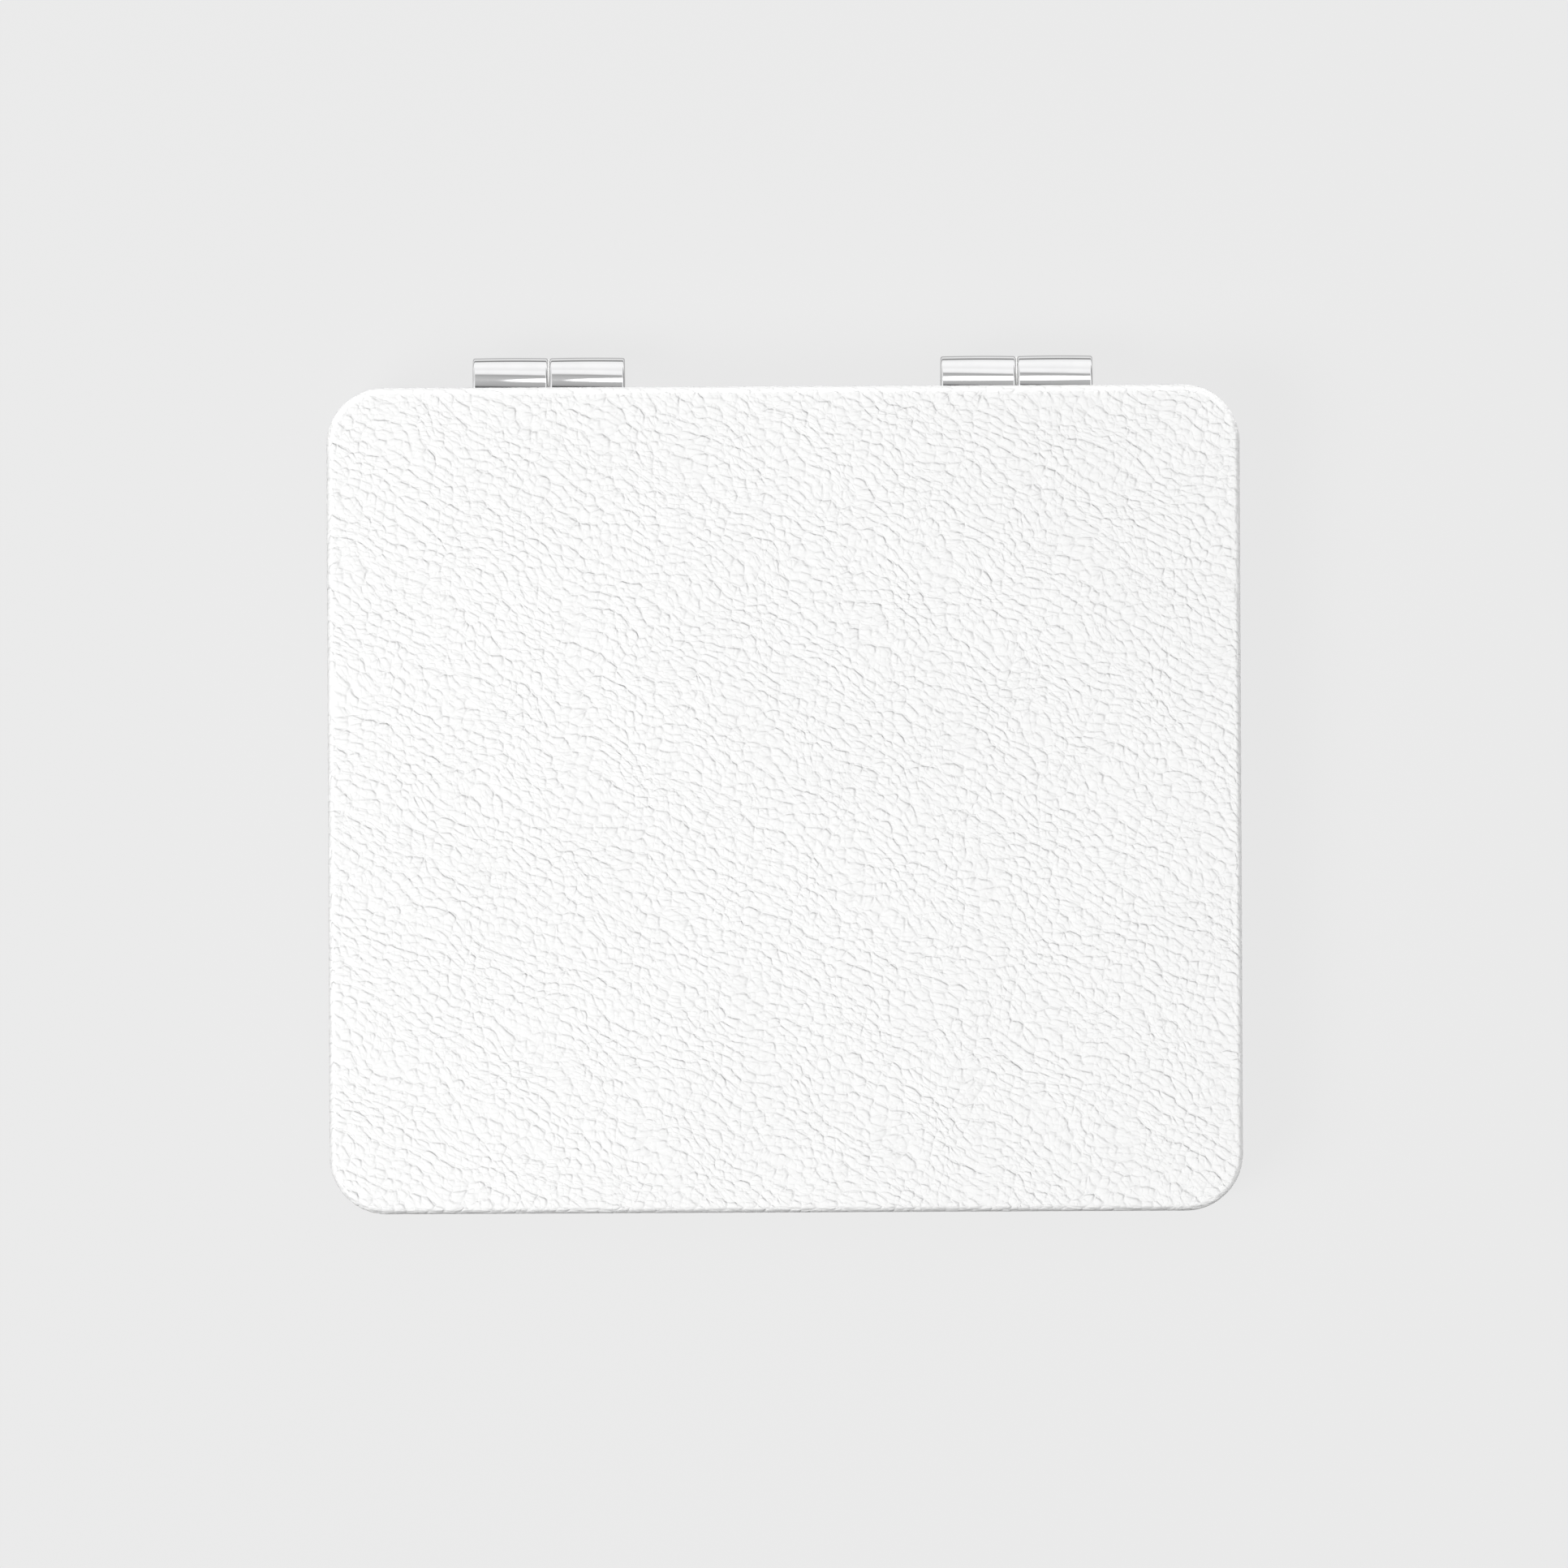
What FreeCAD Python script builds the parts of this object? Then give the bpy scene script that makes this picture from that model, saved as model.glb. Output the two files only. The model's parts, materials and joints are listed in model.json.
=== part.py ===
"""Folding compact mirror: two leather-covered halves joined at the rear edge by a pair of barrel hinges.

Millimetres, +Z up.  The closed compact lies on its base half.  The origin is the centre of the base's
underside, +Y points to the hinges and +X runs along the hinge line.  Each half is a shallow moulded tray
with a foam pad and a leather cover outside, and a mirror held by a plated bezel inside.  The lid half is
modelled as the base half's reflection in the parting plane.
"""

import FreeCAD
import Part
import math
import os

from FreeCAD import Vector

# Case outline
body_width = 66.0
body_depth = 59.7
corner_radius = 4.15
smallest_corner = 0.4

# Leather cover and the foam under it
leather_thickness = 0.8
edge_roll_radius = 0.5
inner_roll_radius = 0.3
hem_fold_radius = 0.55
hem_to_land_edge = 1.1
foam_thickness = 1.0

# Moulded shell
shell_floor = 1.0
shell_wall = 1.2

# Bezel and mirror window
bezel_flange = 0.6
bezel_setback = 0.4
bezel_edge_radius = 0.18
window_corner_radius = 2.0
bezel_lip = 0.7
bezel_skirt = 0.8
lip_chamfer = 0.3

# Mirrors
mirror_thickness = 1.3
mirror_pad_margin = 1.5
magnifier_pad_thickness = 0.3
magnifier_curve_radius = 1000.0

# Barrel hinges
hinge_length = 11.0
hinge_from_side = 10.55
barrel_radius = 2.15
barrel_edge_radius = 0.15
barrel_standoff = 0.1
washer_thickness = 0.1
washer_radius = 2.05
pin_radius = 0.7
pin_end_recess = 0.2
leaf_end_margin = 0.3

# Hinge screws
screw_shank_radius = 0.45
screw_head_radius = 0.75
screw_head_height = 0.4
screw_length = 2.2
screw_edge_margin = 0.25
screw_slot_width = 0.2
screw_slot_depth = 0.18

# Closing magnets
magnet_length = 10.0
magnet_width = 1.9
magnet_thickness = 1.4
magnet_from_side = 15.0
magnet_wall = 0.75

# Clearances
fit_gap = 0.05
part_gap = 0.1
running_gap = 0.05
pin_press_gap = 0.02
washer_gap = 0.02
barrel_gap = 0.3
leaf_slot_gap = 0.2

# Two lengths closer than this are the same
same_length = 1e-6

# Insets from the leather's outer wall
shell_inset = leather_thickness
pocket_inset = shell_inset + shell_wall
magnet_inset = shell_inset + magnet_wall + fit_gap
land_inset = magnet_inset + magnet_width + fit_gap + magnet_wall
hem_inset = land_inset - hem_to_land_edge
skirt_outer_inset = land_inset + part_gap
skirt_inner_inset = skirt_outer_inset + bezel_skirt
mirror_inset = skirt_inner_inset + part_gap
window_inset = mirror_inset + bezel_lip

# Bowed magnifier: how far its middle sinks below its corners
mirror_half_diagonal = math.hypot(body_width / 2 - mirror_inset, body_depth / 2 - mirror_inset)
magnifier_rise = math.sqrt(magnifier_curve_radius**2 - mirror_half_diagonal**2)
magnifier_sag = magnifier_curve_radius - magnifier_rise

# Heights in the base half, from the underside up to the parting plane
foam_bottom = leather_thickness
shell_bottom = foam_bottom + foam_thickness
shell_top_of_floor = shell_bottom + shell_floor
mirror_front = shell_top_of_floor + magnifier_pad_thickness + magnifier_sag + mirror_thickness
mirror_back = mirror_front - mirror_thickness
hem_top = mirror_front
shell_rim = hem_top - leather_thickness
parting = hem_top + bezel_flange

# Hinge line
axis_y = body_depth / 2 + barrel_standoff
axis_z = parting
scallop_radius = barrel_radius + barrel_gap
knuckle_gap = washer_thickness + 2 * washer_gap
knuckle_length = (hinge_length - knuckle_gap) / 2
knuckle_offset = (knuckle_length + knuckle_gap) / 2
leaf_width = knuckle_length - 2 * leaf_end_margin
leaf_end_y = body_depth / 2 - land_inset + part_gap
screw_spacing = leaf_width - 2 * (screw_head_radius + screw_edge_margin)
screw_y = (axis_y - scallop_radius + leaf_end_y) / 2
hinge_x = body_width / 2 - hinge_from_side - hinge_length / 2
hinge_centres = {"left": -hinge_x, "right": hinge_x}

ALONG_X = Vector(1, 0, 0)
ALONG_Z = Vector(0, 0, 1)


# Outline helpers

def rounded_slab(inset, radius, z_low, z_high):
    """Flat slab that follows the case outline, set in from the leather's outer wall."""
    half_x = body_width / 2 - inset
    half_y = body_depth / 2 - inset
    radius = max(radius, smallest_corner)
    diagonal = radius * (1 - math.sqrt(0.5))
    edges = []
    for sign_x, sign_y, clockwise in ((1, 1, False), (-1, 1, True), (-1, -1, False), (1, -1, True)):
        side_end = Vector(sign_x * half_x, sign_y * (half_y - radius), z_low)
        middle = Vector(sign_x * (half_x - diagonal), sign_y * (half_y - diagonal), z_low)
        rear_end = Vector(sign_x * (half_x - radius), sign_y * half_y, z_low)
        start, end = (rear_end, side_end) if clockwise else (side_end, rear_end)
        if edges:
            edges.append(Part.LineSegment(edges[-1].Vertexes[-1].Point, start).toShape())
        edges.append(Part.Arc(start, middle, end).toShape())
    edges.append(Part.LineSegment(edges[-1].Vertexes[-1].Point, edges[0].Vertexes[0].Point).toShape())
    return Part.Face(Part.Wire(edges)).extrude(Vector(0, 0, z_high - z_low))


def case_slab(inset, z_low, z_high):
    """Slab concentric with the case's outer corners."""
    return rounded_slab(inset, corner_radius - inset, z_low, z_high)


def window_slab(inset, z_low, z_high):
    """Slab concentric with the mirror window's corners."""
    return rounded_slab(inset, window_corner_radius + window_inset - inset, z_low, z_high)


def lining_slab(inset, z_low, z_high):
    """Slab inside the leather cover that follows its rolled edge."""
    block = case_slab(inset, foam_bottom, shell_rim)
    block = block.makeFillet(inner_roll_radius, edges_at_height(block, foam_bottom))
    return block.common(case_slab(inset, z_low, z_high))


def edges_at_height(shape, height):
    """Edges of a shape that lie in one horizontal plane."""
    return [
        edge
        for edge in shape.Edges
        if abs(edge.BoundBox.ZMin - height) < same_length and abs(edge.BoundBox.ZMax - height) < same_length
    ]


def box_between(low, high):
    """Box from its lowest corner to its highest corner."""
    size = high - low
    return Part.makeBox(size.x, size.y, size.z, low)


def rod_along_x(radius, x_middle, length):
    """Round rod on the hinge axis."""
    return Part.makeCylinder(radius, length, Vector(x_middle - length / 2, axis_y, axis_z), ALONG_X)


def mirrored_to_lid(shape):
    """The same shape in the lid: reflected in the parting plane."""
    return shape.mirror(Vector(0, 0, parting), ALONG_Z)


# Places that both halves share

def knuckle_centre(side, half):
    """Middle of a knuckle along X: the base half has the outer knuckles and the lid half the inner ones."""
    outward = 1 if side == "right" else -1
    return hinge_centres[side] + (outward if half == "base" else -outward) * knuckle_offset


def hinge_scallops():
    """Round clearance that both barrels turn in, cut from everything at the rear edge."""
    length = hinge_length + 2 * barrel_gap
    return [rod_along_x(scallop_radius, x, length) for x in hinge_centres.values()]


def leaf_box(x_middle, clearance):
    """The flat leaf of a knuckle, between the shell's rim and the bezel's flange."""
    low = Vector(x_middle - leaf_width / 2 - clearance, leaf_end_y - clearance, shell_rim)
    high = Vector(x_middle + leaf_width / 2 + clearance, axis_y, hem_top)
    return box_between(low, high)


def screw_places(half):
    """Centre of each hinge screw in plan."""
    return [
        (knuckle_centre(side, half) + step * screw_spacing / 2, screw_y)
        for side in hinge_centres
        for step in (-1, 1)
    ]


def magnet_places():
    """Centre of each closing magnet in plan, in the shell's front land."""
    x = body_width / 2 - magnet_from_side - magnet_length / 2
    y = -(body_depth / 2 - magnet_inset - magnet_width / 2)
    return [(-x, y), (x, y)]


# Pieces of a half, modelled in the base

def leather_cover(half):
    """Leather skin: flat panel, rolled edge, wall and a hem turned in over the shell's rim."""
    skin = case_slab(0, 0, hem_top)
    skin = skin.makeFillet(edge_roll_radius, edges_at_height(skin, 0))
    skin = skin.makeFillet(hem_fold_radius, edges_at_height(skin, hem_top))
    cavity = lining_slab(shell_inset, foam_bottom, shell_rim)
    mouth = case_slab(hem_inset, shell_rim, hem_top)
    slots = [leaf_box(knuckle_centre(side, half), leaf_slot_gap) for side in hinge_centres]
    return skin.cut(cavity.fuse(mouth)).cut(hinge_scallops() + slots)


def foam_pad():
    """Thin foam between the leather panel and the shell's floor, with a rounded edge."""
    return lining_slab(shell_inset + fit_gap, foam_bottom, shell_bottom)


def shell(half):
    """Moulded tray with lands that carry the hinge leaves and the magnets."""
    tray = lining_slab(shell_inset + fit_gap, shell_bottom, shell_rim)
    tray = tray.cut(case_slab(pocket_inset, shell_top_of_floor, shell_rim))
    lands = []
    for x in hinge_centres.values():
        low = Vector(x - hinge_length / 2, body_depth / 2 - land_inset, shell_bottom)
        high = Vector(x + hinge_length / 2, body_depth / 2 - pocket_inset, shell_rim)
        lands.append(box_between(low, high))
    for x, y in magnet_places():
        half_length = magnet_length / 2 + shell_wall
        low = Vector(x - half_length, -(body_depth / 2 - pocket_inset), shell_bottom)
        high = Vector(x + half_length, -(body_depth / 2 - land_inset), shell_rim)
        lands.append(box_between(low, high))
    tray = tray.fuse(lands).removeSplitter()
    hole_radius = screw_shank_radius + fit_gap
    hole_bottom = hem_top - screw_length
    holes = [
        Part.makeCylinder(hole_radius, screw_length, Vector(x, y, hole_bottom), ALONG_Z)
        for x, y in screw_places(half)
    ]
    pockets = [magnet_block(x, y, fit_gap) for x, y in magnet_places()]
    return tray.cut(holes + pockets + hinge_scallops())


def magnet_block(x, y, clearance):
    """Bar magnet, flush with the shell's rim, grown by a clearance on its sides and its floor."""
    half_length = magnet_length / 2 + clearance
    half_width = magnet_width / 2 + clearance
    low = Vector(x - half_length, y - half_width, shell_rim - magnet_thickness - clearance)
    return box_between(low, Vector(x + half_length, y + half_width, shell_rim))


def magnets():
    """Both bar magnets of a half."""
    return Part.makeCompound([magnet_block(x, y, 0) for x, y in magnet_places()])


def bezel():
    """Plated frame: a flange over the leather hem, a lip over the mirror and a skirt down to the floor."""
    flange = case_slab(bezel_setback, hem_top, parting)
    flange = flange.makeFillet(bezel_edge_radius, edges_at_height(flange, parting))
    skirt = window_slab(skirt_outer_inset, shell_top_of_floor, hem_top)
    pocket = window_slab(skirt_inner_inset, shell_top_of_floor, hem_top)
    window = window_slab(window_inset, hem_top, parting)
    frame = flange.fuse(skirt.cut(pocket)).cut(window).removeSplitter()
    middle_of_flange = (bezel_setback + window_inset) / 2
    reach_x = body_width / 2 - middle_of_flange
    reach_y = body_depth / 2 - middle_of_flange
    inner_edges = [
        edge
        for edge in edges_at_height(frame, parting)
        if max(-edge.BoundBox.XMin, edge.BoundBox.XMax) < reach_x
        and max(-edge.BoundBox.YMin, edge.BoundBox.YMax) < reach_y
    ]
    frame = frame.makeChamfer(lip_chamfer, inner_edges)
    return frame.cut(hinge_scallops())


def flat_mirror():
    """Plain mirror pane."""
    return window_slab(mirror_inset, mirror_back, mirror_front)


def flat_mirror_pad():
    """Foam adhesive under the plain mirror."""
    return window_slab(mirror_inset + mirror_pad_margin, shell_top_of_floor, mirror_back)


def magnifier_centre():
    """Centre of the magnifier's spherical front, placed so that the pane's corners reach the bezel's lip."""
    return Vector(0, 0, mirror_front + magnifier_rise)


def magnifying_mirror():
    """Mirror pane of even thickness, bowed to a shallow spherical dish."""
    centre = magnifier_centre()
    blank = window_slab(mirror_inset, shell_top_of_floor, mirror_front)
    front = Part.makeSphere(magnifier_curve_radius, centre)
    back = Part.makeSphere(magnifier_curve_radius + mirror_thickness, centre)
    return blank.common(back).cut(front)


def magnifying_mirror_pad():
    """Foam adhesive that fills the space under the bowed pane."""
    blank = window_slab(mirror_inset + mirror_pad_margin, shell_top_of_floor, mirror_front)
    back = Part.makeSphere(magnifier_curve_radius + mirror_thickness, magnifier_centre())
    return blank.cut(back)


# Hinge pieces

def knuckle(side, half):
    """Half of a hinge barrel with its leaf, countersunk for the screws."""
    x = knuckle_centre(side, half)
    barrel = rod_along_x(barrel_radius, x, knuckle_length)
    end_circles = [edge for edge in barrel.Edges if edge.BoundBox.XLength < same_length]
    barrel = barrel.makeFillet(barrel_edge_radius, end_circles)
    bore_gap = running_gap if half == "lid" else pin_press_gap
    bore = rod_along_x(pin_radius + bore_gap, x, knuckle_length)
    body = barrel.fuse(leaf_box(x, 0)).cut(bore)
    holes = []
    for screw_x, screw_y in screw_places(half):
        if abs(screw_x - x) < knuckle_length / 2:
            holes.append(screw_blank(screw_x, screw_y, fit_gap))
    return body.cut(holes)


def screw_blank(x, y, clearance):
    """Countersunk screw with its head flush with the leaf, grown by a clearance for its hole."""
    shank = screw_shank_radius + clearance
    head = screw_head_radius + clearance
    cone = Part.makeCone(shank, head, screw_head_height, Vector(x, y, hem_top - screw_head_height), ALONG_Z)
    rod = Part.makeCylinder(shank, screw_length, Vector(x, y, hem_top - screw_length), ALONG_Z)
    return cone.fuse(rod).removeSplitter()


def hinge_screws(half):
    """The slotted screws that hold a half's two leaves."""
    screws = []
    for x, y in screw_places(half):
        low = Vector(x - screw_head_radius, y - screw_slot_width / 2, hem_top - screw_slot_depth)
        high = Vector(x + screw_head_radius, y + screw_slot_width / 2, hem_top)
        screws.append(screw_blank(x, y, 0).cut(box_between(low, high)))
    return Part.makeCompound(screws)


def hinge_pin(side):
    """Pin through both knuckles, sunk a little at each end."""
    return rod_along_x(pin_radius, hinge_centres[side], hinge_length - 2 * pin_end_recess)


def hinge_washer(side):
    """Friction washer between the two knuckles."""
    x = hinge_centres[side]
    disc = rod_along_x(washer_radius, x, washer_thickness)
    return disc.cut(rod_along_x(pin_radius + running_gap, x, washer_thickness))


def base_pieces():
    """Every piece that stays with the base half, by node name."""
    pieces = {
        "base_leather_cover": leather_cover("base"),
        "base_foam_pad": foam_pad(),
        "base_shell": shell("base"),
        "base_bezel": bezel(),
        "base_magnifying_mirror": magnifying_mirror(),
        "base_mirror_pad": magnifying_mirror_pad(),
        "base_magnets": magnets(),
        "base_hinge_screws": hinge_screws("base"),
    }
    for side in hinge_centres:
        pieces[f"{side}_hinge_base_knuckle"] = knuckle(side, "base")
        pieces[f"{side}_hinge_pin"] = hinge_pin(side)
        pieces[f"{side}_hinge_washer"] = hinge_washer(side)
    return pieces


def lid_pieces():
    """Every piece that swings with the lid, by node name."""
    pieces = {
        "lid_leather_cover": leather_cover("lid"),
        "lid_foam_pad": foam_pad(),
        "lid_shell": shell("lid"),
        "lid_bezel": bezel(),
        "lid_mirror": flat_mirror(),
        "lid_mirror_pad": flat_mirror_pad(),
        "lid_magnets": magnets(),
        "lid_hinge_screws": hinge_screws("lid"),
    }
    for side in hinge_centres:
        pieces[f"{side}_hinge_lid_knuckle"] = knuckle(side, "lid")
    return {name: mirrored_to_lid(shape) for name, shape in pieces.items()}


def main():
    """Writes one STEP file for each piece."""
    os.makedirs("parts", exist_ok=True)
    for name, shape in {**base_pieces(), **lid_pieces()}.items():
        box = shape.optimalBoundingBox()
        print(
            f"{name}: {len(shape.Solids)} solid(s), {shape.Volume:.2f} mm3, valid {shape.isValid()},",
            f"x {box.XMin:.2f} {box.XMax:.2f} y {box.YMin:.2f} {box.YMax:.2f}",
            f"z {box.ZMin:.2f} {box.ZMax:.2f}",
        )
        shape.exportStep(f"parts/{name}.step")


main()
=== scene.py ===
"""Looks of a folding compact mirror: pebbled white leather outside, plated hinges and framed mirrors.

Metres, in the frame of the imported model: +X along the hinge line, +Y towards the hinges, +Z up.
"""

import json
import logging
import math
from collections.abc import Sequence
from dataclasses import dataclass, field
from enum import Enum
from typing import Any

import bmesh
import bpy
from bmesh.types import BMEdge, BMesh, BMVert
from bpy.types import Material, Node, NodeSocket, NodeTree, Object
from mathutils import Matrix, Vector


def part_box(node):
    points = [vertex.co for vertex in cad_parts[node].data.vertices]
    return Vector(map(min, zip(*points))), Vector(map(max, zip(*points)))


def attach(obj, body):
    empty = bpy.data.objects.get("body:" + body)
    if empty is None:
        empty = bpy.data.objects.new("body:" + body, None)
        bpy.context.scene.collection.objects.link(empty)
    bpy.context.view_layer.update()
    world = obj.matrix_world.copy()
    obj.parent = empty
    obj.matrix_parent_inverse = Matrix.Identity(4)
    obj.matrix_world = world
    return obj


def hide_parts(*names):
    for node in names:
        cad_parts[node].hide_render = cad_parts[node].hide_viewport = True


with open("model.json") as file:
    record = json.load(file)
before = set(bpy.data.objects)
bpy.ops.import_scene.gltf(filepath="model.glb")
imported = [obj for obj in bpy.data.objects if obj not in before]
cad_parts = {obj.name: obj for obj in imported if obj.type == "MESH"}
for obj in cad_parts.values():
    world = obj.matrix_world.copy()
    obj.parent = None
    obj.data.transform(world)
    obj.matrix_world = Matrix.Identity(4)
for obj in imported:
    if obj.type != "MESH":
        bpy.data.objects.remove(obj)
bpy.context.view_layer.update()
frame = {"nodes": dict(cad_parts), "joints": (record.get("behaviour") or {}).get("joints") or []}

MM = 0.001
FLAT_PLACE = "flat_place"
GRAIN_DEPTH = "grain_depth"
# Metres: how the magnifier is bowed, and how far from the lid's leather the base's is cut.
MAGNIFIER_BOW = 1.0
BASE_GRAIN_SHIFT = Vector((0.09, 0.05, 0.0))
ROUND_SIDES = 128
SOFTENED_FROM = math.radians(60.0)

log = logging.getLogger("compact_mirror")

Relief = tuple[NodeSocket, NodeSocket, NodeSocket]


class Half(Enum):
    """The two halves of the compact, named as their bodies are."""

    BASE = "base"
    LID = "lid"


class Side(Enum):
    """The two hinges, named as seen with the hinges at the rear."""

    LEFT = "left"
    RIGHT = "right"


class Slot(Enum):
    """The record's material slots."""

    LEATHER = "leather"
    FOAM = "foam"
    HINGE = "hinge"
    BEZEL = "bezel"
    MIRROR = "mirror"
    STEEL = "steel"
    WASHER = "washer"
    MAGNET = "magnet"
    SHELL = "shell"


class Graph:
    """A node tree that is written as calls: each call adds a node and wires its inputs."""

    def __init__(self, tree: NodeTree) -> None:
        """Starts on a tree whose default nodes are not wanted."""
        self.tree = tree
        tree.nodes.clear()

    def add(self, kind: str, inputs: dict[Any, Any] | None = None, **settings: Any) -> Node:
        """Adds a node.

        Args:
            kind: Blender's name of the node type.
            inputs: A socket to link, or a value to set, for each input's name or number.
            settings: Properties of the node itself.

        Returns:
            The new node.
        """
        node = self.tree.nodes.new(kind)
        for name, value in settings.items():
            setattr(node, name, value)
        self.wire(node, inputs or {})
        return node

    def wire(self, node: Node, inputs: dict[Any, Any]) -> None:
        """Links or sets a node's inputs.

        Args:
            node: The node.
            inputs: A socket to link, or a value to set, for each input's name or number.
        """
        for key, value in inputs.items():
            if isinstance(value, NodeSocket):
                self.tree.links.new(value, node.inputs[key])
            else:
                node.inputs[key].default_value = value

    def math(self, operation: str, *values: Any, clamp: bool = False) -> NodeSocket:
        """Adds a sum of numbers or sockets, held between 0 and 1 if it is clamped."""
        inputs = dict(enumerate(values))
        return self.add("ShaderNodeMath", inputs, operation=operation, use_clamp=clamp).outputs[0]

    def vector(self, operation: str, *values: Any) -> NodeSocket:
        """Adds a sum of vectors or sockets; the second value of a scale is a number."""
        keys = (0, "Scale") if operation == "SCALE" else range(len(values))
        return self.add("ShaderNodeVectorMath", dict(zip(keys, values)), operation=operation).outputs[0]

    def ramp(self, value: Any, low: float, high: float, start: float = 0.0, end: float = 1.0) -> NodeSocket:
        """Adds a smooth step from start to end, while a value goes from low to high."""
        inputs = {"Value": value, "From Min": low, "From Max": high, "To Min": start, "To Max": end}
        return self.add("ShaderNodeMapRange", inputs, interpolation_type="SMOOTHSTEP").outputs[0]

    def blend(self, factor: Any, first: Any, second: Any) -> NodeSocket:
        """Adds a mix of two colours, where the factor is how much of the second there is."""
        pair = (item if isinstance(item, NodeSocket) else (*item, 1.0) for item in (first, second))
        return self.add("ShaderNodeMix", dict(zip((0, 6, 7), (factor, *pair))), data_type="RGBA").outputs[2]

    def greys(self, value: Any, stops: Sequence[tuple[float, float]]) -> NodeSocket:
        """Adds a ramp of greys.

        Args:
            value: The number that drives the ramp.
            stops: Each stop's number and grey, in rising order.

        Returns:
            The grey's socket.
        """
        first, last = stops[0][0], stops[-1][0]
        share = self.math("DIVIDE", self.math("SUBTRACT", value, first), last - first, clamp=True)
        node = self.add("ShaderNodeValToRGB", {0: share})
        marks = node.color_ramp.elements
        while len(marks) < len(stops):
            marks.new(1.0)
        for mark, (number, grey) in zip(marks, stops):
            mark.position = (number - first) / (last - first)
            mark.color = (grey, grey, grey, 1.0)
        return node.outputs[0]

    def noise(self, place: Any, scale: Any, detail: float = 2.0, roughness: float = 0.5) -> Node:
        """Adds noise with a number of waves per unit, and finer layers as its detail."""
        inputs = {"Vector": place, "Scale": scale, "Detail": detail, "Roughness": roughness}
        return self.add("ShaderNodeTexNoise", inputs)

    def cells(self, place: Any, feature: str, randomness: float = 1.0) -> Node:
        """Adds a pattern of cells in a plane, one unit to a cell."""
        inputs = {"Vector": place, "Scale": 1.0, "Randomness": randomness}
        return self.add("ShaderNodeTexVoronoi", inputs, voronoi_dimensions="2D", feature=feature)

    def bump(self, height: Any, distance: float = 1.0) -> NodeSocket:
        """Adds the normal of a surface with a height, which the distance scales."""
        inputs = {"Height": height, "Strength": 1.0, "Distance": distance}
        return self.add("ShaderNodeBump", inputs).outputs[0]


@dataclass(frozen=True)
class GrainLayer:
    """One layer of embossed cells, in millimetres on the leather laid flat.

    The cells lean down to the right by lean degrees. Each is domed, and rises a little to its upper
    right side.
    """

    lean: float
    size: tuple[float, float]
    unevenness: float
    dome: float
    rise: float
    crease: float
    crease_width: float
    place: tuple[float, float, float] = (0.0, 0.0, 0.0)
    dome_power: float = 2.0


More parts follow.
